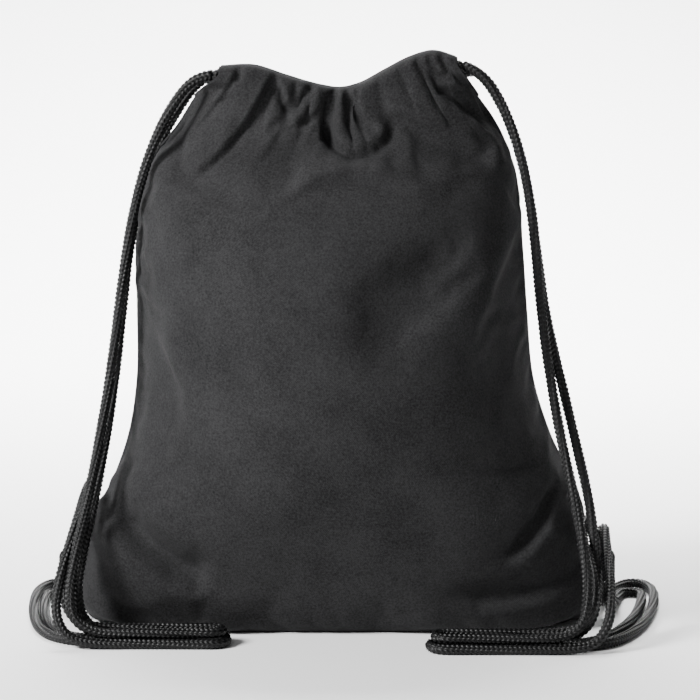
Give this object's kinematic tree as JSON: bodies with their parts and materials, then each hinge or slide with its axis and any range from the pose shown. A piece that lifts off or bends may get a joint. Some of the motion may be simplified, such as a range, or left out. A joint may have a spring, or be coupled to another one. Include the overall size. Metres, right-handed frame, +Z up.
{
  "type": "drawstring backpack",
  "caption": "Stuffed cloth drawstring backpack standing on its base, gathered mouth, braided cord straps tied to webbing loops at the bottom corners.",
  "frame": {"origin": "middle of the bag's base, on the surface that it stands on", "axes": "+Z up, from the base to the gathered mouth; +Y from the front panel to the back panel; +X to the right shoulder"},
  "size_m": [0.4342, 0.1995, 0.3795],
  "materials": {
    "cloth": "matte",
    "cord": "satin",
    "webbing": "matte"
  },
  "bodies": {
    "bag": {"front_panel": "cloth", "back_panel": "cloth", "front_casing": "cloth", "back_casing": "cloth", "left_side_seam": "cloth", "right_side_seam": "cloth", "bottom_seam": "cloth", "left_tab_loop": "webbing", "right_tab_loop": "webbing"},
    "left_drawstring": {"left_channel_cord": "cord", "left_front_strap": "cord", "left_back_strap": "cord", "left_front_tail": "cord", "left_back_tail": "cord", "left_knot": "cord"},
    "right_drawstring": {"right_channel_cord": "cord", "right_front_strap": "cord", "right_back_strap": "cord", "right_front_tail": "cord", "right_back_tail": "cord", "right_knot": "cord"}
  },
  "joints": [
    {"name": "left_drawstring_pull", "type": "slide", "parent": "bag", "child": "left_drawstring", "axis": [-1, 0, 0], "range_m": [0, 0.0035]},
    {"name": "right_drawstring_pull", "type": "slide", "parent": "bag", "child": "right_drawstring", "axis": [1, 0, 0], "range_m": [0, 0.0035]}
  ]
}
